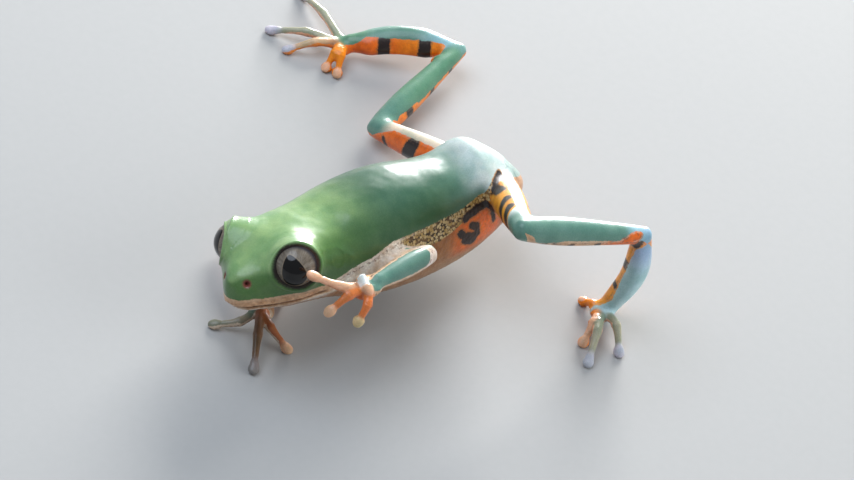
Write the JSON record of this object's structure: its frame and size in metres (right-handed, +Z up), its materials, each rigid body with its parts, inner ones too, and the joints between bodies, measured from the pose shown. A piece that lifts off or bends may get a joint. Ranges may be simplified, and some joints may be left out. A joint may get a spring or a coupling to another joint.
{
  "type": "tiger-legged monkey frog",
  "caption": "Life-size still model of a slender monkey frog striding on its fingertips and toes, one hand lifted beside the cheek.",
  "frame": {"origin": "centre of the bounding box's base, on the surface that the finger and toe pads rest on", "axes": "+Z up; the frog walks towards -Y, its left side at +X"},
  "size_m": [0.0698, 0.054, 0.0212],
  "materials": {
    "skin": "moist, smooth frog skin: leaf green above, cream lip and belly, orange and black hidden faces of the limbs",
    "eye": "clear, wet eye over a silver-cream iris with a black upright pupil"
  },
  "bodies": {
    "root": {"torso": "skin", "head": "skin", "left_eye": "eye", "right_eye": "eye", "left_upper_arm": "skin", "left_forearm": "skin", "left_hand": "skin", "right_upper_arm": "skin", "right_forearm": "skin", "right_hand": "skin", "left_thigh": "skin", "left_shin": "skin", "left_tarsus": "skin", "left_foot": "skin", "right_thigh": "skin", "right_shin": "skin", "right_tarsus": "skin", "right_foot": "skin"}
  },
  "joints": []
}
